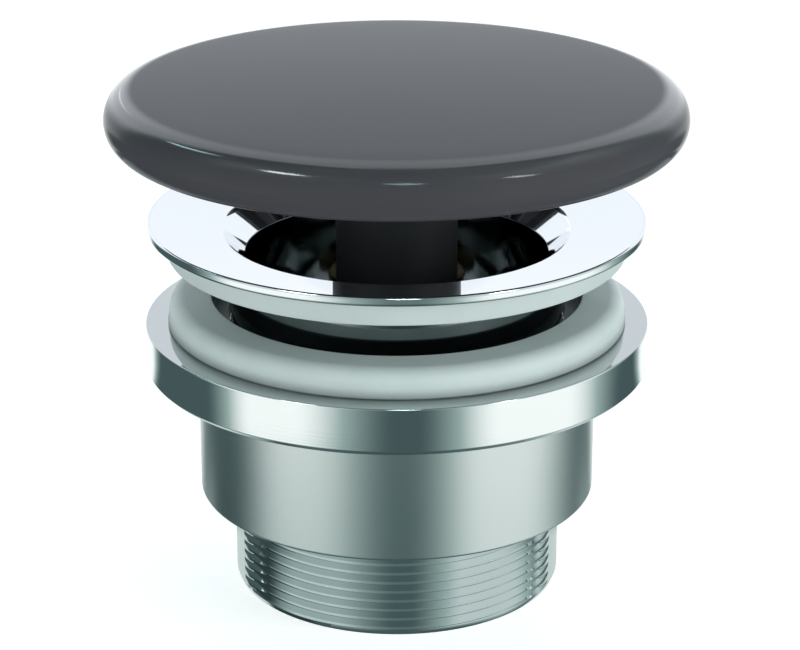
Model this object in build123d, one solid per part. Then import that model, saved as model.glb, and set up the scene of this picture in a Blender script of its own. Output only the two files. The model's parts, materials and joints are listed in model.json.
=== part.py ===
import os
from math import cos, pi, radians, sin, tan

from build123d import *

# A push-open basin waste, standing on the end face of its threaded tail.
# Millimetres, +Z up along the axis, z = 0 at the tail's end face.

# Tailpiece: threaded tail, sleeve and clamping ring in one turned piece
thread_radius = 20.955
thread_clearance = 0.045
tail_length = 12.25
tail_wall = 2.6
tail_chamfer = 0.7
sleeve_wall = 4.3
sleeve_length = 16.55
sleeve_floor = 2.0
sleeve_edge = 0.4
ring_radius = 31.75
ring_height = 5.95
ring_chamfer = 0.6
ring_edge = 0.3
ring_fillet = 0.5

# Lower seal, lying on the clamping ring
lower_seal_radius = 28.75
lower_seal_height = 3.5
lower_seal_foot = 29.0
lower_seal_flare = 1.2
lower_seal_round = 0.9
lower_seal_lip = 23.35
lower_seal_edge = 0.3
lower_seal_web = 1.0
lower_seal_clearance = 0.35

# Gap for the basin's wall, and the upper seal
clamp_gap = 5.6
seal_rest_gap = 0.5
upper_seal_foot = 28.7
upper_seal_top = 29.55
upper_seal_height = 3.2
upper_seal_edge = 0.45
upper_seal_root = 0.3

# Flange, bowl, throat and shank
rim_radius = 31.2
rim_thickness = 1.15
rim_edge = 0.2
rim_land = 0.6
dish_depth = 1.6
mouth_radius = 21.9
mouth_edge = 1.1
bowl_depth = 3.0
shank_wall = 1.955
shank_gap = 0.35
shank_edge = 0.4

# Spider, which carries the push cartridge
spider_height = 5.0
spider_arm_count = 4
spider_arm_width = 2.2
spider_arm_edge = 0.7
hub_radius = 9.0
hub_edge = 0.6

# Push cartridge
stroke = 9.5
barrel_radius = 6.4
barrel_bore = 5.2
barrel_mouth_chamfer = 0.3
collar_radius = 8.6
collar_height = 1.5
barrel_washer_thickness = 0.8
nut_across_flats = 17.0
nut_height = 4.0
nut_chamfer = 0.8
assembly_clearance = 0.05
running_clearance = 0.08
bush_height = 3.5
bush_edge = 0.3
rod_radius = 2.4
rod_clearance = 0.06
rod_seal_section = 0.65
end_play = 0.1
drum_washer_thickness = 0.8
drum_end_wall = 1.95
groove_width = 2.1
groove_depth = 1.15
groove_leg_count = 8
pin_radius = 0.8
pin_tip_clearance = 0.15
pin_to_collar = 1.6
plate_thickness = 0.8
clip_thickness = 0.7
clip_radius = 3.4
clip_gap_angle = 70
clip_groove_depth = 0.6
rod_tail = 1.1
spring_wire = 0.9
spring_turns = 5.5
spring_wall_gap = 0.35
spring_reserve = 0.8
barrel_plug_thickness = 2.6
barrel_plug_slot = 1.2

# Shank O-ring
o_ring_section = 0.55
o_ring_height = 2.0

# Cap and plug
closed_gap = 0.43
cap_radius = 36.03
cap_foot_radius = 33.2
cap_foot_width = 3.0
cap_lower_height = 3.17
cap_upper_height = 3.65
cap_shoulder_radius = 32.6
cap_dome = 0.6
cap_recess = 2.4
cap_recess_slope = 1.6
insert_radius = 4.2
insert_height = 3.2
insert_flange = 0.6
cushion_thickness = 0.8
cushion_radius = 14.0
crown_thickness = 2.2
skirt_radius = 7.65
skirt_clearance = 0.1
skirt_gap = 1.0
skirt_edge = 0.4
shoulder_height = 1.2
shoulder_radius = 4.4
stroke_end_gap = 0.5
plug_depth = 3.8
plug_radius = 20.4
plug_foot_radius = 17.9
plug_web = 1.4
plug_lip = 0.9
plug_ring_section = 1.1
plug_ring_stand = 0.4

# Heights, worked upwards from the tail's end face
sleeve_z = tail_length
ring_z = sleeve_z + sleeve_length
ring_top_z = ring_z + ring_height
crown_z = ring_top_z + lower_seal_height
upper_seal_z = crown_z + clamp_gap
upper_seal_root_z = upper_seal_z + upper_seal_root
rim_z = upper_seal_z + upper_seal_height
flange_z = rim_z + rim_thickness
mouth_z = flange_z - dish_depth
throat_z = mouth_z - bowl_depth
sleeve_floor_z = sleeve_z + sleeve_floor
shank_z = sleeve_floor_z + clamp_gap - seal_rest_gap + shank_gap

# Heights of the cap and of what it carries
cap_foot_z = flange_z + stroke + closed_gap
cap_side_z = cap_foot_z + cap_lower_height
cap_shoulder_z = cap_side_z + cap_upper_height
cap_top_z = cap_shoulder_z + cap_dome
cap_seat_z = cap_foot_z + cap_recess
plug_top_z = cap_seat_z - cushion_thickness
plug_crown_z = plug_top_z - crown_thickness
plug_foot_z = cap_foot_z - plug_depth
plug_lip_z = plug_foot_z + plug_web + 2 * plug_ring_section
plug_rim_z = plug_lip_z + plug_lip
insert_top_z = cap_seat_z + insert_height
shoulder_z = plug_crown_z - shoulder_height

# Heights in the cartridge, worked downwards from the barrel's mouth
barrel_top_z = shoulder_z - stroke - stroke_end_gap
bush_z = barrel_top_z - bush_height
drum_washer_z = bush_z - end_play - drum_washer_thickness
drum_length = stroke + 2 * drum_end_wall
drum_z = drum_washer_z - drum_length
pin_z = drum_z + drum_end_wall
collar_top_z = pin_z - pin_to_collar
collar_z = collar_top_z - collar_height
hub_top_z = collar_z - barrel_washer_thickness
hub_z = hub_top_z - spider_height
nut_z = hub_z - nut_height
skirt_z = collar_top_z + stroke + skirt_gap
plate_z = drum_z - plate_thickness
clip_z = plate_z - clip_thickness
rod_z = clip_z - rod_tail
spring_solid = (spring_turns + 1) * spring_wire
barrel_floor_z = plate_z - stroke - spring_solid - spring_reserve
barrel_z = barrel_floor_z - barrel_plug_thickness

# Radii that follow from the fits
sleeve_bore = thread_radius + thread_clearance
sleeve_radius = sleeve_bore + sleeve_wall
tail_bore = thread_radius - tail_wall
throat_radius = thread_radius - shank_wall
hub_bore = barrel_radius + assembly_clearance
skirt_bore = barrel_radius + skirt_clearance
rod_bore = rod_radius + rod_clearance
drum_radius = barrel_bore - running_clearance
groove_radius = drum_radius - groove_depth
clip_groove_radius = rod_radius - clip_groove_depth
spring_radius = barrel_bore - spring_wall_gap - spring_wire / 2


def turned(points, radii=None):
    """A solid of revolution from its half section, given as (radius, height) corners."""
    if radii is None:
        outline = Polyline(*points, close=True)
    else:
        outline = FilletPolyline(*points, radius=radii, close=True)
    return revolve(make_face(Plane.XZ * outline), Axis.Z)


def ring_of(radius, height, section):
    """A round cord bent into a ring."""
    return Pos(0, 0, height) * Torus(radius, section)


def flat_ring(inner, outer, low, high):
    """A plain washer or collar."""
    return turned([(inner, low), (outer, low), (outer, high), (inner, high)])


def hexagon(across_flats, low, high, bevel):
    """A hexagon bar whose corners are bevelled at both ends."""
    bar = Pos(0, 0, low) * extrude(RegularPolygon(across_flats / 2, 6, major_radius=False), high - low)
    corner = across_flats / 2 / cos(pi / 6)
    low_side, high_side = low + bevel * tan(pi / 6), high - bevel * tan(pi / 6)
    cone = turned([(0, low), (corner - bevel, low), (corner, low_side),
                   (corner, high_side), (corner - bevel, high), (0, high)])
    return bar & cone


def make_tailpiece():
    points = [
        (tail_bore, 0), (thread_radius - tail_chamfer, 0), (thread_radius, tail_chamfer),
        (thread_radius, sleeve_z), (sleeve_radius, sleeve_z), (sleeve_radius, ring_z),
        (ring_radius - ring_chamfer, ring_z), (ring_radius, ring_z + ring_chamfer),
        (ring_radius, ring_top_z), (sleeve_bore, ring_top_z), (sleeve_bore, sleeve_floor_z),
        (tail_bore, sleeve_floor_z),
    ]
    radii = [0, 0, 0, 0, sleeve_edge, ring_fillet, 0, 0, ring_edge, 0, 0, 0]
    return turned(points, radii)


def make_lower_seal():
    bore = thread_radius + lower_seal_clearance
    web_z = ring_top_z + lower_seal_web
    points = [
        (bore, ring_top_z), (lower_seal_foot, ring_top_z),
        (lower_seal_radius, ring_top_z + lower_seal_flare), (lower_seal_radius, crown_z),
        (lower_seal_lip, crown_z), (lower_seal_lip, web_z), (bore, web_z),
    ]
    return turned(points, [0, 0, 0, lower_seal_round, lower_seal_edge, 0, 0])


def underside_height(radius):
    """Height of the flange's conical underside, which runs parallel to its dished face."""
    slope = (rim_z - upper_seal_root_z) / (upper_seal_top - thread_radius)
    return upper_seal_root_z + (radius - thread_radius) * slope


def make_upper_seal():
    bore = thread_radius + assembly_clearance
    points = [
        (bore, upper_seal_z), (upper_seal_foot, upper_seal_z), (upper_seal_top, rim_z),
        (bore, underside_height(bore)),
    ]
    return turned(points, [0, upper_seal_edge, 0, 0])


def make_flange_body():
    land = rim_radius - rim_land
    groove_low = shank_z + o_ring_height - o_ring_section - assembly_clearance
    groove_high = groove_low + 2 * (o_ring_section + assembly_clearance)
    groove_floor = sleeve_bore - thread_clearance / 2 - 2 * o_ring_section - assembly_clearance
    points = [
        (throat_radius, shank_z), (thread_radius - shank_edge, shank_z),
        (thread_radius, shank_z + shank_edge), (thread_radius, groove_low),
        (groove_floor, groove_low), (groove_floor, groove_high), (thread_radius, groove_high),
        (thread_radius, underside_height(thread_radius)), (upper_seal_top, rim_z),
        (rim_radius, rim_z), (rim_radius, flange_z), (land, flange_z),
        (mouth_radius, mouth_z), (throat_radius, throat_z),
    ]
    radii = [0, 0, 0, 0, 0, 0, 0, 0, 0, 0, rim_edge, 0, mouth_edge, 0]
    shell = turned(points, radii)
    return shell + make_spider()


def make_spider():
    reach = throat_radius + shank_wall / 4
    arm = Pos(reach / 2, 0, hub_z + spider_height / 2) * Box(reach, spider_arm_width, spider_height)
    arm = fillet(arm.edges().filter_by(Axis.X), spider_arm_edge)
    arms = [Rot(0, 0, 360 / spider_arm_count * (n + 0.5)) * arm for n in range(spider_arm_count)]
    hub_points = [(0, hub_z), (hub_radius, hub_z), (hub_radius, hub_top_z), (0, hub_top_z)]
    hub = turned(hub_points, [0, hub_edge, hub_edge, 0])
    spider = hub + arms
    return spider - flat_ring(0, hub_bore, hub_z - 1, hub_top_z + 1)


def make_shank_o_ring():
    radius = sleeve_bore - thread_clearance / 2 - o_ring_section
    return ring_of(radius, shank_z + o_ring_height, o_ring_section)


def make_cartridge_barrel():
    points = [
        (barrel_bore, barrel_z), (barrel_radius, barrel_z), (barrel_radius, collar_z),
        (collar_radius, collar_z), (collar_radius, collar_top_z), (barrel_radius, collar_top_z),
        (barrel_radius, barrel_top_z), (barrel_bore, barrel_top_z),
    ]
    edge = barrel_mouth_chamfer
    tube = turned(points, [0, edge, 0, edge, edge, 0, edge, 0])
    return tube - pin_blank(pin_radius)


def pin_blank(radius):
    """The cam pin's own cylinder, from its tip in the groove out to the barrel's wall."""
    tip = groove_radius + pin_tip_clearance
    length = barrel_radius - tip
    return Pos(tip + length / 2, 0, pin_z) * Rot(0, 90, 0) * Cylinder(radius, length)


def make_cam_pin():
    return pin_blank(pin_radius) & flat_ring(0, barrel_radius, barrel_z, barrel_top_z)


def groove_leg(index):
    """One helical leg of the zigzag groove; odd legs run the other way."""
    turn = 360 / groove_leg_count
    lead = stroke * groove_leg_count
    start = turn * (index if index % 2 == 0 else index + 1)
    path = Helix(lead, stroke, drum_radius, lefthand=index % 2 == 1)
    section_plane = Plane(origin=path @ 0, x_dir=(1, 0, 0), z_dir=path % 0)
    section = section_plane * Rectangle(2 * groove_depth, groove_width)
    leg = sweep(section, path=path, is_frenet=True)
    return Rot(0, 0, start) * Pos(0, 0, pin_z) * leg


def groove_turn(index):
    """The round end where two legs of the groove meet."""
    height = pin_z + (stroke if index % 2 else 0)
    length = 2 * groove_depth
    cutter = Pos(drum_radius, 0, height) * Rot(0, 90, 0) * Cylinder(groove_width / 2, length)
    return Rot(0, 0, 360 / groove_leg_count * index) * cutter


def make_cam_drum():
    drum = flat_ring(rod_bore, drum_radius, drum_z, drum_washer_z)
    legs = [groove_leg(n) for n in range(groove_leg_count)]
    turns = [groove_turn(n) for n in range(groove_leg_count)]
    return drum - legs - turns


def make_guide_bush():
    seal_room = rod_radius + 2 * rod_seal_section
    middle = bush_z + bush_height / 2
    groove = flat_ring(rod_bore, seal_room, middle - rod_seal_section, middle + rod_seal_section)
    points = [(rod_bore, bush_z), (barrel_bore, bush_z), (barrel_bore, barrel_top_z),
              (rod_bore, barrel_top_z)]
    return turned(points, [bush_edge, 0, 0, bush_edge]) - groove


def make_push_rod():
    points = [
        (0, rod_z), (rod_radius, rod_z), (rod_radius, clip_z), (clip_groove_radius, clip_z),
        (clip_groove_radius, plate_z), (rod_radius, plate_z), (rod_radius, shoulder_z),
        (shoulder_radius, shoulder_z), (shoulder_radius, plug_crown_z),
        (rod_radius, plug_crown_z), (rod_radius, insert_top_z - insert_flange),
        (0, insert_top_z - insert_flange),
    ]
    return turned(points)


def make_rod_clip():
    clip = flat_ring(clip_groove_radius, clip_radius, clip_z, plate_z)
    half = clip_gap_angle / 2
    reach = 2 * clip_radius
    gap = make_face(Polyline(
        (0, 0), (reach * cos(radians(half)), reach * sin(radians(half))),
        (reach * cos(radians(half)), -reach * sin(radians(half))), close=True))
    return clip - Pos(0, 0, clip_z - 1) * extrude(gap, clip_thickness + 2)


def make_return_spring():
    height = plate_z - barrel_floor_z - spring_wire
    pitch = height / spring_turns
    path = Helix(pitch, height, spring_radius)
    section = Plane(origin=path @ 0, x_dir=(1, 0, 0), z_dir=path % 0) * Circle(spring_wire / 2)
    coil = sweep(section, path=path, is_frenet=True)
    return Pos(0, 0, barrel_floor_z + spring_wire / 2) * coil


def make_barrel_plug():
    plug = flat_ring(0, barrel_bore, barrel_z, barrel_floor_z)
    slot = Pos(0, 0, barrel_z) * Box(3 * barrel_bore, barrel_plug_slot, 2 * barrel_plug_slot)
    return plug - slot


def make_plug_body():
    groove_floor = plug_radius - 2 * plug_ring_section + plug_ring_stand
    points = [
        (skirt_bore, skirt_z), (skirt_radius, skirt_z), (skirt_radius, plug_foot_z),
        (plug_foot_radius, plug_foot_z), (groove_floor, plug_foot_z + plug_web),
        (groove_floor, plug_lip_z), (plug_radius, plug_lip_z), (plug_radius, plug_rim_z),
        (plug_foot_radius, plug_rim_z), (plug_foot_radius, plug_rim_z - plug_web),
        (cushion_radius, plug_rim_z - plug_web), (cushion_radius, plug_top_z),
        (rod_radius, plug_top_z), (rod_radius, plug_crown_z), (skirt_bore, plug_crown_z),
    ]
    edges = [0, skirt_edge, skirt_edge]
    return turned(points, edges + [0] * (len(points) - len(edges)))


def make_plug_o_ring():
    radius = plug_radius - plug_ring_section + plug_ring_stand
    return ring_of(radius, plug_lip_z - plug_ring_section, plug_ring_section)


def make_cap_cushion():
    return flat_ring(insert_radius, cushion_radius, plug_top_z, cap_seat_z)


def make_cap_insert():
    wall = flat_ring(rod_radius, insert_radius, plug_top_z, insert_top_z)
    return wall + flat_ring(0, insert_radius, insert_top_z - insert_flange, insert_top_z)


def make_ceramic_cap():
    foot_inner = cap_foot_radius - cap_foot_width
    recess_radius = foot_inner - cap_recess_slope
    lower_bulge = cap_radius - cap_foot_radius
    upper_bulge = cap_radius - cap_shoulder_radius
    turn = pi / 4
    outline = Curve() + [
        Line((0, insert_top_z), (insert_radius, insert_top_z)),
        Line((insert_radius, insert_top_z), (insert_radius, cap_seat_z)),
        Line((insert_radius, cap_seat_z), (recess_radius, cap_seat_z)),
        Line((recess_radius, cap_seat_z), (foot_inner, cap_foot_z)),
        Line((foot_inner, cap_foot_z), (cap_foot_radius, cap_foot_z)),
        ThreePointArc(
            (cap_foot_radius, cap_foot_z),
            (cap_foot_radius + lower_bulge * sin(turn), cap_side_z - cap_lower_height * cos(turn)),
            (cap_radius, cap_side_z)),
        ThreePointArc(
            (cap_radius, cap_side_z),
            (cap_shoulder_radius + upper_bulge * cos(turn), cap_side_z + cap_upper_height * sin(turn)),
            (cap_shoulder_radius, cap_shoulder_z)),
        Bezier((cap_shoulder_radius, cap_shoulder_z), (cap_shoulder_radius / 2, cap_top_z), (0, cap_top_z)),
        Line((0, cap_top_z), (0, insert_top_z)),
    ]
    return revolve(make_face(Plane.XZ * outline), Axis.Z)


pieces = {
    "tailpiece": make_tailpiece(),
    "lower_seal": make_lower_seal(),
    "upper_seal": make_upper_seal(),
    "flange_body": make_flange_body(),
    "shank_o_ring": make_shank_o_ring(),
    "cartridge_barrel": make_cartridge_barrel(),
    "barrel_washer": flat_ring(hub_bore, collar_radius, hub_top_z, collar_z),
    "barrel_nut": hexagon(nut_across_flats, nut_z, hub_z, nut_chamfer)
    - flat_ring(0, hub_bore, nut_z - 1, hub_z + 1),
    "barrel_plug": make_barrel_plug(),
    "guide_bush": make_guide_bush(),
    "rod_seal": ring_of(rod_radius + rod_seal_section, bush_z + bush_height / 2, rod_seal_section),
    "cam_drum": make_cam_drum(),
    "cam_pin": make_cam_pin(),
    "drum_washer": flat_ring(rod_bore, drum_radius, drum_washer_z, drum_washer_z + drum_washer_thickness),
    "spring_plate": flat_ring(rod_bore, drum_radius, plate_z, drum_z),
    "rod_clip": make_rod_clip(),
    "return_spring": make_return_spring(),
    "push_rod": make_push_rod(),
    "plug_body": make_plug_body(),
    "plug_o_ring": make_plug_o_ring(),
    "cap_cushion": make_cap_cushion(),
    "cap_insert": make_cap_insert(),
    "ceramic_cap": make_ceramic_cap(),
}

os.makedirs("parts", exist_ok=True)
for name, piece in pieces.items():
    export_step(piece, f"parts/{name}.step")

print("height", round(cap_top_z, 2), "turn of the drum over its stroke", 360 / groove_leg_count)
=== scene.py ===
import json
import math
import bmesh
import bpy
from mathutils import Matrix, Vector


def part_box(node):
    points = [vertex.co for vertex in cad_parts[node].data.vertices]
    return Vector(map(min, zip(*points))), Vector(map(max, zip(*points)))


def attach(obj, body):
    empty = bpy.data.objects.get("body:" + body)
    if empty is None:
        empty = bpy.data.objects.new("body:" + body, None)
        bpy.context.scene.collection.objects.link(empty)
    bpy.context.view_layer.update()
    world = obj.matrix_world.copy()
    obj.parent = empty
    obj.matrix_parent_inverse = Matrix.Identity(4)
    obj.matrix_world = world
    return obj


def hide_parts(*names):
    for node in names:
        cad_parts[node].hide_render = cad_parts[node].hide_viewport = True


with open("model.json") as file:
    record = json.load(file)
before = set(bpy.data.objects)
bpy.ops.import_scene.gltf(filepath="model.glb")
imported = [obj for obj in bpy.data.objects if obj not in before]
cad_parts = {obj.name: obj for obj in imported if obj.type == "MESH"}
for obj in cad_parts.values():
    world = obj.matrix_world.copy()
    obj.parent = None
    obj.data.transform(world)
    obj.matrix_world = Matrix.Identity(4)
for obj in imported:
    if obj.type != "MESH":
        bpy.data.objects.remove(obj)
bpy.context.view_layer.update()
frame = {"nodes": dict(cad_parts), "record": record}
print("frame loaded with", len(frame["nodes"]), "nodes")

mm = 0.001
fullTurn = 2 * math.pi


# Arithmetic on sockets: each operator adds one Math node to the tree that the socket is in.
class Wire:
    def __init__(self, bench, socket):
        self.bench = bench
        self.socket = socket

    def pick(self, name):  # another output of the same node
        return Wire(self.bench, self.socket.node.outputs[name])

    def __add__(self, other):
        return self.bench.maths("ADD", self, other)

    def __radd__(self, other):
        return self.bench.maths("ADD", other, self)

    def __sub__(self, other):
        return self.bench.maths("SUBTRACT", self, other)

    def __rsub__(self, other):
        return self.bench.maths("SUBTRACT", other, self)

    def __mul__(self, other):
        return self.bench.maths("MULTIPLY", self, other)

    def __rmul__(self, other):
        return self.bench.maths("MULTIPLY", other, self)

    def __truediv__(self, other):
        return self.bench.maths("DIVIDE", self, other)

    def __pow__(self, other):
        return self.bench.maths("POWER", self, other)


class Bench:
    def __init__(self, tree):
        self.tree = tree
        tree.nodes.clear()

    def node(self, kind, settings=None, feeds=None, out=0):
        made = self.tree.nodes.new(kind)
        for name, value in (settings or {}).items():
            setattr(made, name, value)
        for key, value in (feeds or {}).items():
            if isinstance(value, Wire):
                self.tree.links.new(value.socket, made.inputs[key])
            else:
                made.inputs[key].default_value = value
        return Wire(self, made.outputs[out]) if made.outputs else made

    def maths(self, operation, *values):
        return self.node("ShaderNodeMath", {"operation": operation}, dict(enumerate(values)))


def rise(bench, value, start, end):  # 0 below start, 1 above end, a soft step between them
    feeds = {"Value": value, "From Min": start, "From Max": end}
    return bench.node("ShaderNodeMapRange", {"interpolation_type": "SMOOTHSTEP"}, feeds)


def riseOver(bench, value, span):
    return rise(bench, value, span["from"], span["to"])


def softStep(bench, value, middle, soft):
    return rise(bench, value, middle - soft, middle + soft)


def blendColour(bench, factor, first, second):
    feeds = {0: factor, 6: first, 7: second}  # 6 and 7 are the node's two colour sockets
    return bench.node("ShaderNodeMix", {"data_type": "RGBA"}, feeds, out=2)


def opaque(colour):
    return (*colour, 1.0)


# The camera stands where the photograph was taken from, 0.3 m away and looking down on the cap.
cameraView = {
    "imageWidth": 800,        # pixels
    "focalPixels": 2514.3,    # focal length in pixels of that width
    "sensorWidth": 36.0,      # mm
    "side": 0.41,             # mm to the right of the waste's axis
    "back": 299.8,            # mm in front of the axis
    "height": 145.3,          # mm above the floor
    "pitch": 20.48,           # degrees down
    "clipStart": 0.01,        # m
    "clipEnd": 20.0,          # m
}


def setCamera(view):
    camera = bpy.data.cameras.new("photoCamera")
    camera.sensor_width = view["sensorWidth"]
    camera.lens = view["focalPixels"] * view["sensorWidth"] / view["imageWidth"]
    camera.clip_start = view["clipStart"]
    camera.clip_end = view["clipEnd"]
    stand = bpy.data.objects.new("photoCamera", camera)
    stand.location = (view["side"] * mm, -view["back"] * mm, view["height"] * mm)
    stand.rotation_euler = (math.radians(90 - view["pitch"]), 0, 0)
    bpy.context.scene.collection.objects.link(stand)
    bpy.context.scene.camera = stand


setCamera(cameraView)
bpy.context.scene.view_settings.view_transform = "Standard"
print("camera set")


# The studio is painted round the waste: white boxes with soft edges and darker gaps between them.
# An azimuth is 0 on the camera's side and grows to the right; an elevation is above the horizon.
# Both are in degrees. The light's level is 0 in a gap, 0.5 in the middle tone and 1 in the white.
# From and to together are the elevations between which a change sets in, and from alone is an azimuth
# on both sides. Left is the share of the light that stays.
studio = {
    "gap": (0.062, 0.099, 0.104),
    "middle": (0.33, 0.445, 0.42),
    "white": (1.04, 1.09, 1.065),
    "highWhite": (0.985, 1.03, 1.10),
    "whiteTurns": {"from": -10, "to": 6},  # from white to highWhite
    "boxes": [
        {"side": -1, "inner": 24, "innerSoft": 24, "outer": 82, "outerSoft": 14, "whenLow": 0.68},
        {"side": 1, "inner": 28.5, "innerSoft": 20, "outer": 103, "outerSoft": 21, "whenLow": 0.94},
    ],
    "boxTop": {"from": 8, "to": 26, "left": 0.15},
    "boxTopInGloss": {"from": 46, "to": 60},
    "high": {"from": -21.5, "to": -20.2, "wider": 0.13},  # wider moves the boxes' outer edges out
    "upper": {"from": -16, "to": -8, "left": 0.78},
    "low": {"from": -24.2, "to": -23.0, "wider": -0.13},
    "lowest": {"from": -25.6, "to": -25.1, "wider": 0.24},
    "front": {"within": 32, "soft": 22, "strength": 0.14},
    "behind": {
        "from": 156, "soft": 8, "low": -24.3, "lowSoft": 0.2,
        # it opens so many degrees earlier for what the ring, the flange and the cap reflect
        "turns": [
            {"from": -22.4, "to": -21.2, "earlier": 13},
            {"from": -20.3, "to": -19.3, "earlier": -7},
            {"from": -15, "to": -4, "earlier": 20},
        ],
    },
    "glow": {"from": 136, "soft": 4, "high": -24.9, "highSoft": 0.3},  # behind, low down
    "shade": {"from": -137, "to": -97, "soft": 7, "left": 0.45},  # here two azimuths, low down
    "dimmed": {"from": -25.6, "to": -23.0, "left": 0.68},
    "ceiling": {"from": 74, "to": 90, "strength": 0.10},
    "steep": {"from": -62, "to": -40},
    # A lamp's sizes are half sizes, and its slope is how much it climbs for each degree to the right.
    # It fades where 1 less the squared distance from its middle is under lampEdge.
    "lampEdge": 0.7,
    "lamps": [
        {"azimuth": -159, "elevation": 14, "slope": 1.5, "wide": 6, "high": 2.0, "strength": 0.7},
        {"azimuth": -119, "elevation": 44.5, "slope": 0.9, "wide": 9, "high": 3.0, "strength": 50},
        {"azimuth": -56, "elevation": 49, "slope": 0.13, "wide": 13, "high": 3.0, "strength": 37},
        {"azimuth": 3.5, "elevation": 39, "slope": 0, "wide": 10, "high": 2.8, "strength": 150},
        {"azimuth": 53.5, "elevation": 35, "slope": -0.45, "wide": 7.5, "high": 2.6, "strength": 55},
    ],
}


def paintStudio(plan):
    world = bpy.data.worlds.new("softStudio")
    world.use_nodes = True
    bpy.context.scene.world = world
    bench = Bench(world.node_tree)
    direction = bench.node("ShaderNodeTexCoord").pick("Generated")
    parts = bench.node("ShaderNodeSeparateXYZ", None, {0: direction})
    toDegrees = math.degrees(1)
    azimuth = bench.maths("ARCTAN2", parts.pick("X"), 0 - parts.pick("Y")) * toDegrees
    elevation = bench.maths("ARCSINE", parts.pick("Z")) * toDegrees
    path = bench.node("ShaderNodeLightPath")
    glossy = path.pick("Is Glossy Ray")
    high = riseOver(bench, elevation, plan["high"])
    low = 1 - riseOver(bench, elevation, plan["low"])
    lowest = 1 - riseOver(bench, elevation, plan["lowest"])
    spread = 1 + high * plan["high"]["wider"] + low * plan["low"]["wider"] + lowest * plan["lowest"]["wider"]
    light = 0
    for box in plan["boxes"]:
        away = azimuth * box["side"]
        opens = softStep(bench, away, box["inner"], box["innerSoft"])
        closes = softStep(bench, away / spread, box["outer"], box["outerSoft"])
        light = light + opens * (1 - closes) * (1 - low * (1 - box["whenLow"]))
    upper = riseOver(bench, elevation, plan["upper"])
    light = light * (1 - upper * (1 - plan["upper"]["left"]))
    turned = bench.maths("ABSOLUTE", azimuth)
    front = plan["front"]
    light = light + (1 - softStep(bench, turned, front["within"], front["soft"])) * high * front["strength"]
    boxTop = plan["boxTop"]
    cut = riseOver(bench, elevation, boxTop) * (1 - glossy) \
        + riseOver(bench, elevation, plan["boxTopInGloss"]) * glossy
    light = light * (1 - cut * (1 - boxTop["left"]))
    behind = plan["behind"]
    opensAt = behind["from"]
    for turn in behind["turns"]:
        opensAt = opensAt - riseOver(bench, elevation, turn) * turn["earlier"]
    light = light + softStep(bench, turned, opensAt, behind["soft"]) \
        * softStep(bench, elevation, behind["low"], behind["lowSoft"])
    glow = plan["glow"]
    light = light + softStep(bench, turned, glow["from"], glow["soft"]) \
        * (1 - softStep(bench, elevation, glow["high"], glow["highSoft"]))
    dimmed = plan["dimmed"]
    light = light * (dimmed["left"] + riseOver(bench, elevation, dimmed) * (1 - dimmed["left"]))
    ceiling = plan["ceiling"]
    above = riseOver(bench, elevation, ceiling)
    light = light * (1 - above) + above * ceiling["strength"]
    light = light * riseOver(bench, elevation, plan["steep"])
    lamps = 0
    for lamp in plan["lamps"]:
        away = azimuth - lamp["azimuth"]
        across = away / lamp["wide"]
        over = (elevation - lamp["elevation"] - away * lamp["slope"]) / lamp["high"]
        inside = 1 - across * across - over * over
        lamps = lamps + rise(bench, inside, 0, plan["lampEdge"]) * lamp["strength"]
    shade = plan["shade"]
    shaded = softStep(bench, azimuth, shade["from"], shade["soft"]) \
        * (1 - softStep(bench, azimuth, shade["to"], shade["soft"])) * lowest
    # the level's lower half turns the gap to the middle tone, its upper half the middle tone to white
    darker = blendColour(bench, light * 2, opaque(plan["gap"]), opaque(plan["middle"]))
    whiteTurned = riseOver(bench, elevation, plan["whiteTurns"])
    white = blendColour(bench, whiteTurned, opaque(plan["white"]), opaque(plan["highWhite"]))
    colour = blendColour(bench, light * 2 - 1, darker, white)
    strength = (1 + lamps * glossy) * (1 - shaded * (1 - shade["left"]))
    room = bench.node("ShaderNodeBackground", None, {"Color": colour, "Strength": strength})
    # behind the waste the camera itself sees plain white
    plain = bench.node("ShaderNodeBackground", None, {"Color": opaque((1.0, 1.0, 1.0)), "Strength": 1.0})
    both = bench.node("ShaderNodeMixShader", None, {0: path.pick("Is Camera Ray"), 1: room, 2: plain})
    bench.node("ShaderNodeOutputWorld", None, {"Surface": both})


lightsAim = Vector((0, 0, 0.035))  # m
softLights = {
    "key": {"place": (0.50, -0.22, 0.16), "size": 0.35, "power": 1.45},
    "fill": {"place": (-0.25, -0.45, 0.18), "size": 0.40, "power": 0.85},
}


def hangLight(name, light):
    lamp = bpy.data.lights.new(name, "AREA")
    lamp.shape = "DISK"
    lamp.size = light["size"]
    lamp.energy = light["power"]
    holder = bpy.data.objects.new(name, lamp)
    holder.location = light["place"]
    aim = lightsAim - Vector(light["place"])
    holder.rotation_euler = aim.to_track_quat("-Z", "Y").to_euler()
    holder.visible_glossy = False
    bpy.context.scene.collection.objects.link(holder)


floorLook = {"halfWidth": 1.5, "colour": (0.88, 0.89, 0.89), "roughness": 0.9, "glow": 0.70}


def layFloor(look):
    reach = look["halfWidth"]
    mesh = bpy.data.meshes.new("studioFloor")
    corners = [(-reach, -reach, 0), (reach, -reach, 0), (reach, reach, 0), (-reach, reach, 0)]
    mesh.from_pydata(corners, [], [(0, 1, 2, 3)])
    floor = bpy.data.objects.new("studioFloor", mesh)
    bpy.context.scene.collection.objects.link(floor)
    floor.visible_glossy = False
    finish = bpy.data.materials.new("studioFloor")
    finish.use_nodes = True
    bench = Bench(finish.node_tree)
    feeds = {"Base Color": opaque(look["colour"]), "Roughness": look["roughness"],
             "Emission Color": opaque(look["colour"]), "Emission Strength": look["glow"]}
    surface = bench.node("ShaderNodeBsdfPrincipled", None, feeds)
    bench.node("ShaderNodeOutputMaterial", None, {"Surface": surface})
    mesh.materials.append(finish)


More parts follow.
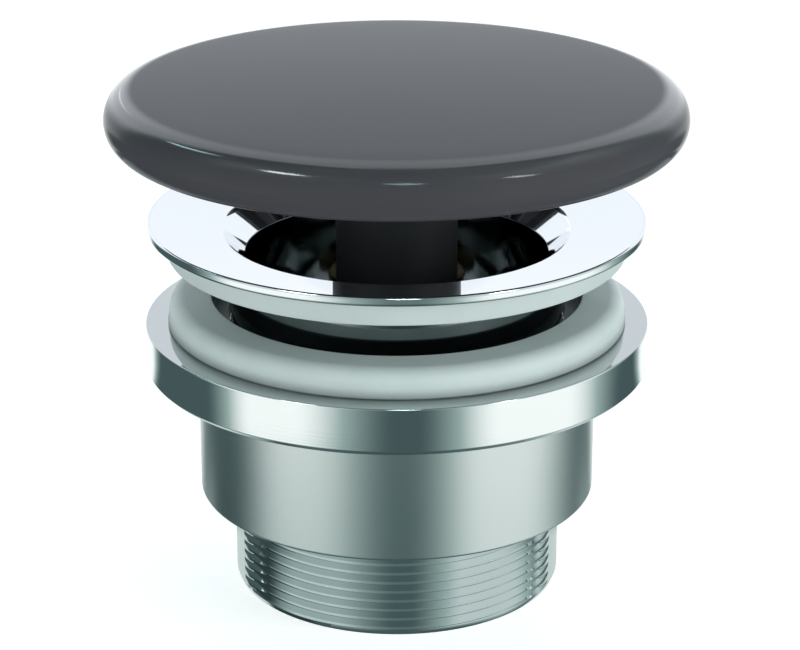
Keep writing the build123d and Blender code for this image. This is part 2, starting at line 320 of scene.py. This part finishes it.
paintStudio(studio)
for lightName, light in softLights.items():
    hangLight(lightName, light)
layFloor(floorLook)
print("studio painted")


# Finishes. Each reads Object coordinates, so that a pattern stays on its piece when the piece moves.
# A smudge or a patch is where a noise rises through a span of its values. Depths are in mm.
wear = {"smudge": (0.35, 0.75), "patch": (0.3, 0.8), "toolDepth": 0.02, "grainDepth": 0.03}


def newFinish(name):
    finish = bpy.data.materials.new(name)
    finish.use_nodes = True
    bench = Bench(finish.node_tree)
    return finish, bench, bench.node("ShaderNodeTexCoord").pick("Object")


def closeFinish(bench, feeds):
    surface = bench.node("ShaderNodeBsdfPrincipled", None, feeds)
    bench.node("ShaderNodeOutputMaterial", None, {"Surface": surface})


def cloud(bench, place, scale, detail=3.0):
    feeds = {"Vector": place, "Scale": scale, "Detail": detail, "Roughness": 0.55}
    return bench.node("ShaderNodeTexNoise", None, feeds)


def radiusAndHeight(bench, place):  # in mm
    parts = bench.node("ShaderNodeSeparateXYZ", None, {0: place})
    across, along, up = (parts.pick(axis) / mm for axis in "XYZ")
    return (across * across + along * along) ** 0.5, up


def turningMarks(bench, place, fineness):
    # rings left by the tool: a noise of the distance from the axis and the height alone
    across, up = radiusAndHeight(bench, place)
    section = bench.node("ShaderNodeCombineXYZ", None, {0: across * mm, 1: up * mm})
    feeds = {"Vector": section, "Scale": fineness, "Detail": 2.0}
    return bench.node("ShaderNodeTexNoise", {"noise_dimensions": "2D"}, feeds)


def smudges(bench, place, look):
    return rise(bench, cloud(bench, place, look["smudgeScale"]), *wear["smudge"])


def bumped(bench, strength, depth, height):  # depth in mm
    feeds = {"Strength": strength, "Distance": depth * mm, "Height": height}
    return bench.node("ShaderNodeBump", None, feeds)


def metalFinish(bench, look, colour, roughness, marks):
    bump = bumped(bench, look["bump"], wear["toolDepth"], marks)
    closeFinish(bench, {"Base Color": colour, "Roughness": roughness, "Metallic": 1.0, "Normal": bump})


def turnedMetal(name, look):
    finish, bench, place = newFinish(name)
    smudge = smudges(bench, place, look)
    marks = turningMarks(bench, place, look["markScale"])
    roughness = look["roughness"] + smudge * look["haze"] + marks * look["markHaze"]
    colour = blendColour(bench, smudge, opaque(look["colour"]), opaque(look["dulled"]))
    metalFinish(bench, look, colour, roughness, marks)
    return finish


brassLook = {
    "colour": (0.78, 0.60, 0.30), "dulled": (0.62, 0.45, 0.21), "roughness": 0.20, "haze": 0.12,
    "markHaze": 0.08, "smudgeScale": 220.0, "markScale": 7000.0, "bump": 0.25,
}
steelLook = {
    "colour": (0.66, 0.67, 0.68), "dulled": (0.55, 0.56, 0.57), "roughness": 0.18, "haze": 0.08,
    "markHaze": 0.06, "smudgeScale": 260.0, "markScale": 8000.0, "bump": 0.15,
}
mouldings = {
    # the upper seal is the same pale rubber as the lower one in a darker colour: painted shade
    "upperSeal": {
        "colour": (0.49, 0.555, 0.545), "worn": (0.46, 0.525, 0.515), "roughness": 0.42, "spread": 0.10,
        "scale": 140.0, "grain": 2600.0, "bump": 0.10, "shine": 0.40,
    },
    "darkPlastic": {
        "colour": (0.021, 0.022, 0.024), "worn": (0.025, 0.026, 0.028), "roughness": 0.42,
        "spread": 0.12, "scale": 160.0, "grain": 3000.0, "bump": 0.12, "shine": 0.40,
    },
    "blackRubber": {
        "colour": (0.012, 0.012, 0.012), "worn": (0.020, 0.020, 0.020), "roughness": 0.55,
        "spread": 0.12, "scale": 200.0, "grain": 4000.0, "bump": 0.20, "shine": 0.35,
    },
    "whitePlastic": {
        "colour": (0.78, 0.78, 0.75), "worn": (0.70, 0.70, 0.66), "roughness": 0.38,
        "spread": 0.10, "scale": 200.0, "grain": 3500.0, "bump": 0.12, "shine": 0.45,
    },
    "redFibre": {
        "colour": (0.33, 0.085, 0.05), "worn": (0.24, 0.06, 0.04), "roughness": 0.70,
        "spread": 0.15, "scale": 300.0, "grain": 5000.0, "bump": 0.50, "shine": 0.30,
    },
}


def moulded(name, look, paintedShade=None):
    finish, bench, place = newFinish(name)
    patch = rise(bench, cloud(bench, place, look["scale"]), *wear["patch"])
    grain = cloud(bench, place, look["grain"], detail=2.0)
    colour = blendColour(bench, patch, opaque(look["colour"]), opaque(look["worn"]))
    if paintedShade:  # painted shade: grey in the bore and along the foot
        across, up = radiusAndHeight(bench, place)
        shadeInBore = 1 - softStep(bench, across, paintedShade["boreRadius"], paintedShade["boreSoft"])
        shadeAtFoot = (1 - rise(bench, up, paintedShade["footLow"], paintedShade["footHigh"])) * paintedShade["footShare"]
        colour = blendColour(bench, bench.maths("MAXIMUM", shadeInBore, shadeAtFoot), colour, opaque(paintedShade["colour"]))
    roughness = look["roughness"] + patch * look["spread"]
    bump = bumped(bench, look["bump"], wear["grainDepth"], grain)
    closeFinish(bench, {"Base Color": colour, "Roughness": roughness, "Normal": bump,
                        "Specular IOR Level": look["shine"]})
    return finish


finishes = {name: moulded(name, look) for name, look in mouldings.items()}
finishes["brass"] = turnedMetal("turnedBrass", brassLook)
finishes["steel"] = turnedMetal("brightSteel", steelLook)
print("shared finishes made:", len(finishes))


# Turned pieces. An outline is a list of (radius, height, rounding) corners in mm, anticlockwise seen with the
# axis on the left, so that its faces point outwards.
turning = {
    "steps": 288,           # faces round the axis
    "arcStep": 9.0,         # degrees between two points of a rounding, at most
    "guard": 0.05,          # mm from a rounding to the extra point beside it
    "sharpAngle": 28.0,     # degrees between two faces, above which their edge is crisp
    "onAxis": 1e-9,         # m from the axis, within which a point is a pole
}


def roundedOutline(corners, closed=True):
    points = []
    last = len(corners) - 1
    for index, corner in enumerate(corners):
        here = Vector(corner[:2])
        rounding = corner[2] if len(corner) > 2 else 0
        if not rounding or (not closed and index in (0, last)):
            points.append(here)
            continue
        back = (Vector(corners[index - 1][:2]) - here).normalized()
        ahead = (Vector(corners[(index + 1) % len(corners)][:2]) - here).normalized()
        half = back.angle(ahead) / 2
        reach = rounding / math.tan(half)
        centre = here + (back + ahead).normalized() * rounding / math.sin(half)
        bend = math.pi - 2 * half
        side = -1 if back.cross(ahead) > 0 else 1
        count = max(2, math.ceil(math.degrees(bend) / turning["arcStep"]))
        spoke = here + back * reach - centre
        points.append(here + back * (reach + turning["guard"]))
        for step in range(count + 1):
            angle = side * bend * step / count
            turnedSpoke = Vector((spoke.x * math.cos(angle) - spoke.y * math.sin(angle),
                                  spoke.x * math.sin(angle) + spoke.y * math.cos(angle)))
            points.append(centre + turnedSpoke)
        points.append(here + ahead * (reach + turning["guard"]))
    return points


def quarterCurve(centre, reachOut, reachUp, start, end, count=14):
    # part of an ellipse about centre, between two angles in degrees, as outline points
    angles = [math.radians(start + (end - start) * step / count) for step in range(count + 1)]
    return [Vector((centre[0] + reachOut * math.cos(a), centre[1] + reachUp * math.sin(a))) for a in angles]


def addTurned(body, outline, closed=True):
    steps = turning["steps"]
    rings = []
    for point in outline:
        radius, height = point[0] * mm, point[1] * mm
        if radius < turning["onAxis"]:
            rings.append([body.verts.new((0, 0, height))])
        else:
            angles = [fullTurn * step / steps for step in range(steps)]
            places = [(radius * math.cos(a), radius * math.sin(a), height) for a in angles]
            rings.append([body.verts.new(place) for place in places])
    spans = len(rings) if closed else len(rings) - 1
    for index in range(spans):
        low, high = rings[index], rings[(index + 1) % len(rings)]
        if len(low) == 1 and len(high) == 1:
            continue
        for step in range(steps):
            nextStep = (step + 1) % steps
            if len(low) == 1:
                body.faces.new((low[0], high[nextStep], high[step]))
            elif len(high) == 1:
                body.faces.new((low[step], low[nextStep], high[0]))
            else:
                body.faces.new((low[step], low[nextStep], high[nextStep], high[step]))


def smoothed(mesh):
    mesh.shade_smooth()
    mesh.set_sharp_from_angle(angle=math.radians(turning["sharpAngle"]))


def pieceFrom(name, body, finish):
    mesh = bpy.data.meshes.new(name)
    body.to_mesh(mesh)
    body.free()
    mesh.materials.append(finish)
    smoothed(mesh)
    piece = bpy.data.objects.new(name, mesh)
    bpy.context.scene.collection.objects.link(piece)
    return piece


def standFor(piece, node, body):
    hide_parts(node)
    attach(piece, body)
    print(piece.name, "made,", len(piece.data.polygons), "faces")


def sizesOf(node):
    low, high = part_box(node)
    return high.x / mm, low.z / mm, high.z / mm


# The glazed cap: a foot ring, a rounded rim that is widest a little below its middle, and a nearly flat top.
capShape = {
    "footRadius": 33.2, "footWidth": 3.0, "lowerHeight": 3.21, "shoulderRadius": 32.38, "upperHeight": 3.72,
    "recess": 2.4, "recessSlope": 1.6, "insertRadius": 4.2, "insertDepth": 3.2, "footEdge": 0.3,
    "topRings": 12,
}
glazeLook = {
    "colour": (0.060, 0.060, 0.067), "cloudy": (0.065, 0.065, 0.072),
    "cloudScale": 45.0, "cloudSpan": (0.3, 0.75), "roughness": 0.10, "haze": 0.04,
    # the rim's colour below footTo is painted shade, darker towards the foot
    "shadedFootColour": (0.048, 0.048, 0.054), "footTo": (59.5, 63.5),  # between two heights in mm
    "ripple": 0.05, "rippleScale": 160.0, "rippleDepth": 0.05, "shine": 0.075,
    "coatFrom": (32.3, 33.7), "coatTo": (34.7, 35.7),  # radii in mm
    "coatAbove": 62.0, "coatSoft": 0.2, "coatRoughness": 0.10, "coatIndex": 1.7,
}


def darkGlaze(look):
    finish, bench, place = newFinish("darkGlaze")
    depth = rise(bench, cloud(bench, place, look["cloudScale"]), *look["cloudSpan"])
    colour = blendColour(bench, depth, opaque(look["colour"]), opaque(look["cloudy"]))
    ripple = cloud(bench, place, look["rippleScale"], detail=1.0)
    bump = bumped(bench, look["ripple"], look["rippleDepth"], ripple)
    across, up = radiusAndHeight(bench, place)
    # painted shade: the rim turns darker towards its foot
    colour = blendColour(bench, rise(bench, up, *look["footTo"]), opaque(look["shadedFootColour"]), colour)
    # the glaze is thickest over the shoulder
    coat = rise(bench, across, *look["coatFrom"]) * (1 - rise(bench, across, *look["coatTo"])) \
        * softStep(bench, up, look["coatAbove"], look["coatSoft"])
    roughness = look["roughness"] + depth * look["haze"]
    closeFinish(bench, {"Base Color": colour, "Roughness": roughness, "Normal": bump,
                        "Specular IOR Level": look["shine"], "Coat Weight": coat,
                        "Coat Roughness": look["coatRoughness"], "Coat IOR": look["coatIndex"]})
    return finish


def makeCap(shape, finish):
    radius, low, top = sizesOf("ceramic_cap")
    side = low + shape["lowerHeight"]
    shoulder = side + shape["upperHeight"]
    seat = low + shape["recess"]
    insertTop = seat + shape["insertDepth"]
    footOuter, shoulderRadius = shape["footRadius"], shape["shoulderRadius"]
    footInner = footOuter - shape["footWidth"]
    corners = [
        (0, insertTop), (shape["insertRadius"], insertTop), (shape["insertRadius"], seat),
        (footInner - shape["recessSlope"], seat),
        (footInner - shape["footEdge"], low + shape["footEdge"]), (footInner, low),
    ]
    outline = [Vector(corner) for corner in corners]
    outline += quarterCurve((footOuter, side), radius - footOuter, shape["lowerHeight"], -90, 0)
    outline += quarterCurve((shoulderRadius, side), radius - shoulderRadius, shape["upperHeight"], 0, 90)[1:]
    for step in range(1, shape["topRings"] + 1):
        inward = step / shape["topRings"]
        height = shoulder + (top - shoulder) * (1 - (1 - inward) ** 2)
        outline.append(Vector((shoulderRadius * (1 - inward), height)))
    body = bmesh.new()
    addTurned(body, outline)
    return pieceFrom("glazedCap", body, finish)


# The plug under the cap: a disc with a groove for its ring, and the skirt that shows as the stem.
plugShape = {
    "skirtBore": 6.5, "skirtRadius": 7.65, "skirtEdge": 0.4, "footRadius": 17.9, "discRadius": 20.4,
    "footHeight": 14.95, "web": 1.4, "lipHeight": 18.55, "rimHeight": 19.45, "grooveFloor": 18.6,
    "seatRadius": 14.0, "crown": 2.2, "rodRadius": 2.4, "edge": 0.2,
}


def makePlug(shape, finish):
    radius, low, top = sizesOf("plug_body")
    foot, lip, rim = (low + shape[name] for name in ("footHeight", "lipHeight", "rimHeight"))
    edge = shape["edge"]
    corners = [
        (shape["skirtBore"], low, edge), (shape["skirtRadius"], low, shape["skirtEdge"]),
        (shape["skirtRadius"], foot, edge), (shape["footRadius"], foot, edge),
        (shape["grooveFloor"], foot + shape["web"]), (shape["grooveFloor"], lip),
        (shape["discRadius"], lip, edge), (shape["discRadius"], rim, edge),
        (shape["footRadius"], rim, edge), (shape["footRadius"], rim - shape["web"]),
        (shape["seatRadius"], rim - shape["web"]), (shape["seatRadius"], top, edge),
        (shape["rodRadius"], top), (shape["rodRadius"], top - shape["crown"]),
        (shape["skirtBore"], top - shape["crown"]),
    ]
    body = bmesh.new()
    addTurned(body, roundedOutline(corners))
    return pieceFrom("plugStem", body, finish)


# The flange: thin rim, dished face, bowl, throat and shank in one turned shell, and a spider in it.
flangeShape = {
    "rimThickness": 1.15, "rimEdge": 0.28, "rimFoot": 0.35, "land": 0.32, "dish": 1.6, "mouthRadius": 21.9,
    "mouthEdge": 1.1, "bowl": 3.0, "throatRadius": 19.0, "throatEdge": 0.25, "shankRadius": 20.955,
    "shankEdge": 0.4, "underRadius": 29.55, "underRise": 2.9, "grooveLow": 1.4, "grooveHigh": 2.6,
    "grooveFloor": 19.83, "footEdge": 0.15,
}
spiderShape = {
    "arms": 4, "firstArm": 45.0, "armWidth": 2.2, "armEdge": 0.7, "low": 1.88, "height": 5.0,
    "hubRadius": 9.0, "hubBore": 6.45, "hubEdge": 0.6, "startFromBore": 0.6, "reach": 19.5,
}
# throat and shank are darker colours of the bright plate: painted shade
flangeChrome = {
    "colour": (0.86, 0.885, 0.895), "throat": (0.30, 0.32, 0.33), "shank": (0.20, 0.22, 0.225),
    "bowlFoot": 43.7, "footSoft": 0.05, "wallMiddle": 20.2, "wallSoft": 0.1,
    "polish": 0.03, "haze": 0.02, "smudgeScale": 60.0, "markScale": 9000.0, "bump": 0.03,
}


def flangeMetal(look):
    # bright plate, and a darker colour in the throat and on the shank's outside below the bowl's foot:
    # painted shade
    finish, bench, place = newFinish("flangeChrome")
    across, up = radiusAndHeight(bench, place)
    outside = softStep(bench, across, look["wallMiddle"], look["wallSoft"])
    shadedDeep = blendColour(bench, outside, opaque(look["throat"]), opaque(look["shank"]))
    above = softStep(bench, up, look["bowlFoot"], look["footSoft"])
    colour = blendColour(bench, above, shadedDeep, opaque(look["colour"]))
    roughness = look["polish"] + smudges(bench, place, look) * look["haze"]
    metalFinish(bench, look, colour, roughness, turningMarks(bench, place, look["markScale"]))
    return finish


def addSpiderHub(body, shape, base):
    low, high = base + shape["low"], base + shape["low"] + shape["height"]
    corners = [(shape["hubBore"], low), (shape["hubRadius"], low, shape["hubEdge"]),
               (shape["hubRadius"], high, shape["hubEdge"]), (shape["hubBore"], high)]
    addTurned(body, roundedOutline(corners))


def armMesh(shape, base):
    # one rounded bar along X, from inside the hub to inside the shank's wall
    body = bmesh.new()
    low, high = base + shape["low"], base + shape["low"] + shape["height"]
    half, edge = shape["armWidth"] / 2, shape["armEdge"]
    corners = [(-half, low, edge), (half, low, edge), (half, high, edge), (-half, high, edge)]
    section = roundedOutline(corners)
    start = shape["hubBore"] + shape["startFromBore"]
    near = [body.verts.new((start * mm, point.x * mm, point.y * mm)) for point in section]
    far = [body.verts.new((shape["reach"] * mm, point.x * mm, point.y * mm)) for point in section]
    for index in range(len(section)):
        after = (index + 1) % len(section)
        body.faces.new((near[index], near[after], far[after], far[index]))
    body.faces.new(near)
    body.faces.new(far)
    bmesh.ops.recalc_face_normals(body, faces=body.faces)
    mesh = bpy.data.meshes.new("spiderArm")
    body.to_mesh(mesh)
    body.free()
    return bpy.data.objects.new("spiderArm", mesh)


def newGeometryTree(name, inputs):
    tree = bpy.data.node_groups.new(name, "GeometryNodeTree")
    sockets = {}
    for socketName, kind in inputs.items():
        socket = tree.interface.new_socket(socketName, in_out="INPUT", socket_type=kind)
        sockets[socketName] = socket.identifier
    tree.interface.new_socket("Geometry", in_out="OUTPUT", socket_type="NodeSocketGeometry")
    return tree, Bench(tree), sockets


def joinBody(bench, given, made):
    joined = bench.node("GeometryNodeJoinGeometry")
    for part in (made, given.pick("Body")):
        bench.tree.links.new(part.socket, joined.socket.node.inputs[0])
    return joined


def closeTree(bench, given, geometry):
    plain = bench.node("GeometryNodeRealizeInstances", None, {0: geometry})
    feeds = {"Geometry": plain, "Material": given.pick("Finish")}
    finished = bench.node("GeometryNodeSetMaterial", None, feeds)
    bench.node("NodeGroupOutput", None, {0: finished})


def bakeGeometry(piece, tree, sockets, values):
    # runs the tree on the piece once, keeps the result as its plain mesh and takes the modifier off again
    modifier = piece.modifiers.new(tree.name, "NODES")
    modifier.node_group = tree
    for name, value in values.items():
        modifier[sockets[name]] = value
    piece.update_tag()
    bpy.context.view_layer.update()
    evaluated = piece.evaluated_get(bpy.context.evaluated_depsgraph_get())
    result = bpy.data.meshes.new_from_object(evaluated)
    piece.modifiers.remove(modifier)
    piece.data = result
    smoothed(result)
    return piece


def ringOfCopiesTree():
    inputs = {"Body": "NodeSocketGeometry", "Copy": "NodeSocketObject", "Count": "NodeSocketInt",
              "First angle": "NodeSocketFloat", "Finish": "NodeSocketMaterial"}
    tree, bench, sockets = newGeometryTree("ringOfCopies", inputs)
    given = bench.node("NodeGroupInput")
    copy = bench.node("GeometryNodeObjectInfo", None, {"Object": given.pick("Copy")}).pick("Geometry")
    points = bench.node("GeometryNodePoints", None, {"Count": given.pick("Count")})
    index = bench.node("GeometryNodeInputIndex")
    angle = (index / given.pick("Count")) * fullTurn + given.pick("First angle")
    turn = bench.node("ShaderNodeCombineXYZ", None, {2: angle})
    rotation = bench.node("FunctionNodeEulerToRotation", None, {0: turn})
    placed = bench.node("GeometryNodeInstanceOnPoints", None,
                        {"Points": points, "Instance": copy, "Rotation": rotation})
    closeTree(bench, given, joinBody(bench, given, placed))
    return tree, sockets


def makeFlange(shape, spider, finish):
    radius, low, top = sizesOf("flange_body")
    rim = top - shape["rimThickness"]
    mouth = top - shape["dish"]
    throat = mouth - shape["bowl"]
    land = radius - shape["land"]
    corners = [
        (shape["throatRadius"], low, shape["footEdge"]), (shape["shankRadius"] - shape["shankEdge"], low),
        (shape["shankRadius"], low + shape["shankEdge"]), (shape["shankRadius"], low + shape["grooveLow"]),
        (shape["grooveFloor"], low + shape["grooveLow"]), (shape["grooveFloor"], low + shape["grooveHigh"]),
        (shape["shankRadius"], low + shape["grooveHigh"]), (shape["shankRadius"], rim - shape["underRise"]),
        (shape["underRadius"], rim), (radius, rim, shape["rimFoot"]),
        (radius, top, shape["rimEdge"]), (land, top),
        (shape["mouthRadius"], mouth, shape["mouthEdge"]),
        (shape["throatRadius"], throat, shape["throatEdge"]),
    ]
    body = bmesh.new()
    addTurned(body, roundedOutline(corners))
    addSpiderHub(body, spider, low)
    piece = pieceFrom("flangeCasting", body, finish)
    arm = armMesh(spider, low)
    tree, sockets = ringOfCopiesTree()
    values = {"Copy": arm, "Count": spider["arms"], "First angle": math.radians(spider["firstArm"]),
              "Finish": finish}
    bakeGeometry(piece, tree, sockets, values)
    bpy.data.objects.remove(arm)
    return piece


# The two seals.
upperSealShape = {"bore": 21.005, "footRadius": 28.7, "edge": 0.45, "boreDrop": 2.88, "topEdge": 0.12}
lowerSealShape = {
    "bore": 21.305, "radius": 28.75, "flare": 1.2, "crownEdge": 1.8, "lipRadius": 23.35, "lipEdge": 0.3,
    "web": 1.0, "softEdge": 0.2, "footEdge": 0.3,
}


def makeUpperSeal(shape, finish):
    radius, low, top = sizesOf("upper_seal")
    corners = [(shape["bore"], low), (shape["footRadius"], low, shape["edge"]),
               (radius, top, shape["topEdge"]), (shape["bore"], top - shape["boreDrop"])]
    body = bmesh.new()
    addTurned(body, roundedOutline(corners))
    return pieceFrom("upperSealRing", body, finish)


# the same pale rubber as the upper seal in a lighter colour: painted light
lowerSealLook = {
    "colour": (0.62, 0.70, 0.685), "worn": (0.58, 0.66, 0.645), "roughness": 0.42, "spread": 0.10,
    "scale": 140.0, "grain": 2600.0, "bump": 0.10, "shine": 0.40,
}
# painted shade on the lower seal: grey in its bore and towards its foot
sealPaintedShade = {
    "boreRadius": 23.5, "boreSoft": 0.1, "footRise": 1.5, "footShare": 0.70, "colour": (0.18, 0.20, 0.20),
}


def makeLowerSeal(shape, look, paintedShade):
    foot, low, top = sizesOf("lower_seal")
    # the lower seal's finish carries painted shade in the bore and at the foot
    shadeSpans = {**paintedShade, "footLow": low, "footHigh": low + paintedShade["footRise"]}
    finish = moulded("paleSealShaded", look, shadeSpans)
    web = low + shape["web"]
    corners = [
        (shape["bore"], low), (foot, low, shape["footEdge"]),
        (shape["radius"], low + shape["flare"], shape["softEdge"]),
        (shape["radius"], top, shape["crownEdge"]), (shape["lipRadius"], top, shape["lipEdge"]),
        (shape["lipRadius"], web, shape["softEdge"]), (shape["bore"], web),
    ]
    body = bmesh.new()
    addTurned(body, roundedOutline(corners))
    return pieceFrom("lowerSealRing", body, finish)


# The tail: clamping ring, sleeve and threaded tail in one turned piece.
tailShape = {
    "crestRadius": 20.955, "tailHeight": 12.25, "sleeveHeight": 16.55, "sleeveRadius": 25.3,
    "sleeveBore": 21.0, "sleeveEdge": 0.4, "sleeveFloor": 2.0, "ringChamfer": 0.6, "ringEdge": 0.14,
    "ringFillet": 0.5, "tailBore": 18.355, "tailChamfer": 0.7, "tailChamferIn": 0.3, "edge": 0.1,
    "satinBelow": 0.2, "satinAbove": 0.1,
}
threadShape = {
    "pitch": 1.24, "depth": 0.5, "halfOpening": 0.2, "flare": 0.36, "firstGroove": 0.98, "turns": 14,
    "fadeStart": 52.0, "fadeEnd": 68.0,  # degrees from the front or the back, where the grooves run out
    "weld": 0.0005,  # mm within which points become one
}
# the ledge colour on the ring's top is painted shade
tailChrome = {
    "colour": (0.86, 0.885, 0.89), "polish": 0.05, "satin": (0.83, 0.86, 0.86), "satinRoughness": 0.25,
    "satinSoft": 0.05, "shadedLedge": (0.52, 0.55, 0.55), "ledgeDepth": 0.04, "ledgeSoft": 0.02, "haze": 0.02,
    "smudgeScale": 60.0, "markScale": 5200.0, "bump": 0.05,
}


def tailMetal(look, satinLow, satinHigh, top):
    # one plate all over: bright on ring and thread, satin on the sleeve, and a darker colour on the ring's
    # top, painted shade that darkens what that face reflects
    finish, bench, place = newFinish("tailChrome")
    up = bench.node("ShaderNodeSeparateXYZ", None, {0: place}).pick("Z") / mm
    soft = look["satinSoft"]
    onSleeve = softStep(bench, up, satinLow, soft) * (1 - softStep(bench, up, satinHigh, soft))
    shadedLedgeMask = softStep(bench, up, top - look["ledgeDepth"], look["ledgeSoft"])
    bright = blendColour(bench, shadedLedgeMask, opaque(look["colour"]), opaque(look["shadedLedge"]))
    colour = blendColour(bench, onSleeve, bright, opaque(look["satin"]))
    satinMore = look["satinRoughness"] - look["polish"]
    roughness = look["polish"] + onSleeve * satinMore + smudges(bench, place, look) * look["haze"]
    metalFinish(bench, look, colour, roughness, turningMarks(bench, place, look["markScale"]))
    return finish


def threadTree():
    # a strip that climbs round the axis turn by turn; five rows make one pitch: crest, groove, crest again
    names = ["Crest radius", "Depth", "Pitch", "Half opening", "Flare", "Start", "Lowest", "Highest",
             "Fade start", "Fade end", "Weld"]
    inputs = {"Body": "NodeSocketGeometry", **{name: "NodeSocketFloat" for name in names},
              "Turns": "NodeSocketInt", "Steps": "NodeSocketInt", "Finish": "NodeSocketMaterial"}
    tree, bench, sockets = newGeometryTree("tailThread", inputs)
    given = bench.node("NodeGroupInput")
    crest, depth, pitch, halfOpening, flare, start, lowest, highest, fadeStart, fadeEnd, weld = \
        (given.pick(name) for name in names)
    turns = given.pick("Turns")
    rows = 5
    middleRow = (rows - 1) / 2
    columns = turns * given.pick("Steps") + 1
    strip = bench.node("GeometryNodeMeshGrid", None,
                       {"Size X": 1.0, "Size Y": 1.0, "Vertices X": columns, "Vertices Y": rows})
    place = bench.node("ShaderNodeSeparateXYZ", None, {0: bench.node("GeometryNodeInputPosition")})
    along = (place.pick("X") + 0.5) * turns
    row = (place.pick("Y") + 0.5) * (rows - 1)
    angle = along * fullTurn
    # 1 at the front and the back, 0 at the sides
    fromSide = bench.maths("ABSOLUTE", bench.maths("SINE", angle))
    fade = rise(bench, fromSide, fadeEnd, fadeStart)
    firstHalf = bench.maths("MINIMUM", row, middleRow)
    lastHalf = bench.maths("MAXIMUM", row - middleRow, 0.0)
    toEdge = bench.maths("MINIMUM", firstHalf, 1.0)
    toFloor = bench.maths("MAXIMUM", firstHalf - 1, 0.0)
    toFarEdge = bench.maths("MINIMUM", lastHalf, 1.0)
    toEnd = bench.maths("MAXIMUM", lastHalf - 1, 0.0)
    opening = halfOpening * fade + flare * fade * (1 - fade) * 4  # the grooves widen where they run out
    flat = pitch / 2 - opening
    climb = toEdge * flat + toFloor * opening + toFarEdge * opening + toEnd * flat
    height = start + along * pitch + climb
    inside = bench.maths("GREATER_THAN", height, lowest) * bench.maths("LESS_THAN", height, highest)
    kept = bench.maths("MINIMUM", bench.maths("MAXIMUM", height, lowest), highest)
    radius = crest - depth * fade * inside * (toFloor - toFarEdge)
    point = bench.node("ShaderNodeCombineXYZ", None, {
        0: radius * bench.maths("COSINE", angle), 1: radius * bench.maths("SINE", angle), 2: kept})
    wound = bench.node("GeometryNodeSetPosition", None, {"Geometry": strip, "Position": point})
    joined = joinBody(bench, given, wound)
    welded = bench.node("GeometryNodeMergeByDistance", None, {"Geometry": joined, "Distance": weld})
    closeTree(bench, given, welded)
    return tree, sockets


def makeTail(shape, thread, look):
    radius, low, top = sizesOf("tailpiece")
    sleeveLow = low + shape["tailHeight"]
    ringLow = sleeveLow + shape["sleeveHeight"]
    crest = shape["crestRadius"]
    rimTop = low + shape["tailChamfer"]
    boreFloor = sleeveLow + shape["sleeveFloor"]
    corners = [
        (crest, sleeveLow), (shape["sleeveRadius"], sleeveLow, shape["sleeveEdge"]),
        (shape["sleeveRadius"], ringLow, shape["ringFillet"]),
        (radius - shape["ringChamfer"], ringLow, shape["edge"]),
        (radius, ringLow + shape["ringChamfer"], shape["edge"]), (radius, top, shape["ringEdge"]),
        (shape["sleeveBore"], top, shape["edge"]), (shape["sleeveBore"], boreFloor),
        (shape["tailBore"], boreFloor, shape["edge"]), (shape["tailBore"], low, shape["edge"]),
        (crest - shape["tailChamferIn"], low, shape["edge"]), (crest, rimTop),
    ]
    body = bmesh.new()
    addTurned(body, roundedOutline(corners, closed=False), closed=False)
    finish = tailMetal(look, sleeveLow - shape["satinBelow"], ringLow + shape["satinAbove"], top)
    piece = pieceFrom("threadedTail", body, finish)
    tree, sockets = threadTree()
    lead = 0.75 + 0.5 + 1  # turns from +X round to the front, to a groove's floor, and one turn more
    start = thread["firstGroove"] - lead * thread["pitch"]
    values = {
        "Crest radius": crest * mm, "Depth": thread["depth"] * mm, "Pitch": thread["pitch"] * mm,
        "Half opening": thread["halfOpening"] * mm, "Flare": thread["flare"] * mm, "Start": start * mm,
        "Lowest": rimTop * mm, "Highest": sleeveLow * mm, "Turns": thread["turns"], "Steps": turning["steps"],
        "Fade start": math.cos(math.radians(thread["fadeStart"])),
        "Fade end": math.cos(math.radians(thread["fadeEnd"])), "Weld": thread["weld"] * mm, "Finish": finish,
    }
    return bakeGeometry(piece, tree, sockets, values)


standFor(makeCap(capShape, darkGlaze(glazeLook)), "ceramic_cap", "plug")
standFor(makePlug(plugShape, finishes["darkPlastic"]), "plug_body", "plug")
standFor(makeFlange(flangeShape, spiderShape, flangeMetal(flangeChrome)), "flange_body", "root")
standFor(makeUpperSeal(upperSealShape, finishes["upperSeal"]), "upper_seal", "root")
standFor(makeLowerSeal(lowerSealShape, lowerSealLook, sealPaintedShade), "lower_seal", "clamp_seal")
standFor(makeTail(tailShape, threadShape, tailChrome), "tailpiece", "tail")

# The small pieces inside keep their own solids and get their finishes here.
finishOfSlot = {
    "black_rubber": "blackRubber", "brass": "brass", "steel": "steel", "white_plastic": "whitePlastic",
    "fibre": "redFibre",
}
for part in frame["record"]["subparts"]:
    node = frame["nodes"][part["node"]]
    if not node.hide_render:
        node.data.materials.clear()
        node.data.materials.append(finishes[finishOfSlot[part["material_slot"]]])
print("inner pieces finished")
